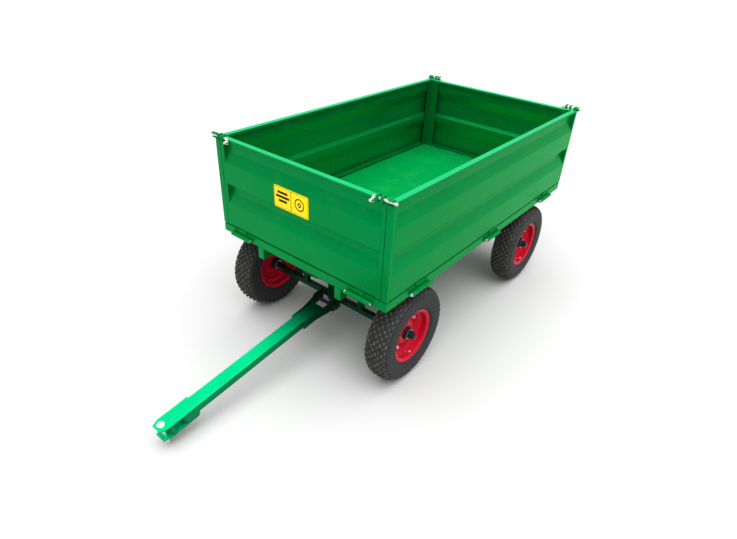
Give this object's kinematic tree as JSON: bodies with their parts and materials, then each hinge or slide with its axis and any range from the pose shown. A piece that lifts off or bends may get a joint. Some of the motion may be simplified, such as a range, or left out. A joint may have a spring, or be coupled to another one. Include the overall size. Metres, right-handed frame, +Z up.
{
  "type": "tow behind cart",
  "caption": "Four-wheel tow-behind garden cart: open ribbed steel load box with hinged drop sides, steered front axle and a drawbar with a hitch jaw and pin.",
  "frame": {"origin": "on the ground, under the middle of the whole cart from the hitch jaw to the rear hinges", "axes": "+X forwards to the hitch, +Y to the cart's left, +Z up"},
  "size_m": [2.132, 0.888, 0.8477],
  "materials": {
    "green_paint": "glossy green enamel",
    "red_paint": "glossy red enamel",
    "black_paint": "satin black",
    "zinc_steel": "zinc plated",
    "bearing_steel": "ground",
    "tyre_rubber": "matt rubber",
    "label_film": "glossy plain film"
  },
  "bodies": {
    "chassis": {"base_frame": "green_paint", "cross_members": "green_paint", "floor_sheet": "green_paint", "chassis_rails": "green_paint", "turntable_upper_plate": "green_paint", "rear_axle": "green_paint", "rear_axle_stands": "green_paint", "frame_hinge_leaves": "green_paint", "kingpin": "zinc_steel", "hinge_pins": "zinc_steel", "rear_axle_nuts": "black_paint"},
    "front_axle": {"front_axle": "green_paint", "turntable_struts": "green_paint", "kingpin_post": "green_paint", "turntable_lower_plate": "green_paint", "drawbar_yoke": "green_paint", "drawbar_pivot_bolt": "zinc_steel", "front_axle_nuts": "black_paint"},
    "drawbar": {"drawbar_tube": "green_paint", "drawbar_cheeks": "green_paint", "hitch_jaw": "green_paint"},
    "hitch_pin": {"hitch_pin": "zinc_steel"},
    "left_side": {"left_side_sheet": "green_paint", "left_side_posts": "green_paint", "left_side_hinge_leaves": "green_paint", "left_side_keepers": "green_paint"},
    "right_side": {"right_side_sheet": "green_paint", "right_side_posts": "green_paint", "right_side_hinge_leaves": "green_paint", "right_side_keepers": "green_paint"},
    "front_side": {"front_side_sheet": "green_paint", "front_side_posts": "green_paint", "front_side_hinge_leaves": "green_paint", "front_side_guides": "green_paint", "front_label": "label_film"},
    "rear_side": {"rear_side_sheet": "green_paint", "rear_side_posts": "green_paint", "rear_side_hinge_leaves": "green_paint", "rear_side_guides": "green_paint"},
    "latch_front_left": {"latch_front_left": "zinc_steel"},
    "wheel_front_left": {"tyre_front_left": "tyre_rubber", "rim_front_left": "red_paint", "hub_front_left": "black_paint", "bearings_front_left": "bearing_steel"},
    "latch_front_right": {"latch_front_right": "zinc_steel"},
    "wheel_front_right": {"tyre_front_right": "tyre_rubber", "rim_front_right": "red_paint", "hub_front_right": "black_paint", "bearings_front_right": "bearing_steel"},
    "latch_rear_left": {"latch_rear_left": "zinc_steel"},
    "wheel_rear_left": {"tyre_rear_left": "tyre_rubber", "rim_rear_left": "red_paint", "hub_rear_left": "black_paint", "bearings_rear_left": "bearing_steel"},
    "latch_rear_right": {"latch_rear_right": "zinc_steel"},
    "wheel_rear_right": {"tyre_rear_right": "tyre_rubber", "rim_rear_right": "red_paint", "hub_rear_right": "black_paint", "bearings_rear_right": "bearing_steel"}
  },
  "joints": [
    {"name": "front_axle_steering", "type": "hinge", "parent": "chassis", "child": "front_axle", "pos_m": [0.20747, 0, 0.2], "axis": [0, 0, 1], "range_deg": [-30, 30]},
    {"name": "drawbar_pitch", "type": "hinge", "parent": "front_axle", "child": "drawbar", "pos_m": [0.25847, 0, 0.186], "axis": [0, -1, 0], "range_deg": [0, 50]},
    {"name": "hitch_pin_draw", "type": "slide", "parent": "drawbar", "child": "hitch_pin", "axis": [0.1373, 0, 0.9905], "range_m": [0, 0.12]},
    {"name": "left_side_hinge", "type": "hinge", "parent": "chassis", "child": "left_side", "pos_m": [-0.31653, 0.435, 0.44], "axis": [-1, 0, 0], "range_deg": [0, 165]},
    {"name": "right_side_hinge", "type": "hinge", "parent": "chassis", "child": "right_side", "pos_m": [-0.31653, -0.435, 0.44], "axis": [1, 0, 0], "range_deg": [0, 165]},
    {"name": "front_side_hinge", "type": "hinge", "parent": "chassis", "child": "front_side", "pos_m": [0.42347, 0, 0.44], "axis": [0, -1, 0], "range_deg": [-120, 0]},
    {"name": "rear_side_hinge", "type": "hinge", "parent": "chassis", "child": "rear_side", "pos_m": [-1.05653, 0, 0.44], "axis": [0, -1, 0], "range_deg": [0, 165]},
    {"name": "wheel_front_left_spin", "type": "hinge", "parent": "front_axle", "child": "wheel_front_left", "pos_m": [0.20747, 0.373, 0.2], "axis": [0, 1, 0], "continuous": true},
    {"name": "wheel_front_right_spin", "type": "hinge", "parent": "front_axle", "child": "wheel_front_right", "pos_m": [0.20747, -0.373, 0.2], "axis": [0, 1, 0], "continuous": true},
    {"name": "wheel_rear_left_spin", "type": "hinge", "parent": "chassis", "child": "wheel_rear_left", "pos_m": [-0.77953, 0.373, 0.2], "axis": [0, 1, 0], "continuous": true},
    {"name": "wheel_rear_right_spin", "type": "hinge", "parent": "chassis", "child": "wheel_rear_right", "pos_m": [-0.77953, -0.373, 0.2], "axis": [0, 1, 0], "continuous": true},
    {"name": "latch_front_left_draw", "type": "slide", "parent": "front_side", "child": "latch_front_left", "axis": [0, -1, 0], "range_m": [0, 0.045]},
    {"name": "latch_front_right_draw", "type": "slide", "parent": "front_side", "child": "latch_front_right", "axis": [0, 1, 0], "range_m": [0, 0.045]},
    {"name": "latch_rear_left_draw", "type": "slide", "parent": "rear_side", "child": "latch_rear_left", "axis": [0, -1, 0], "range_m": [0, 0.045]},
    {"name": "latch_rear_right_draw", "type": "slide", "parent": "rear_side", "child": "latch_rear_right", "axis": [0, 1, 0], "range_m": [0, 0.045]}
  ]
}
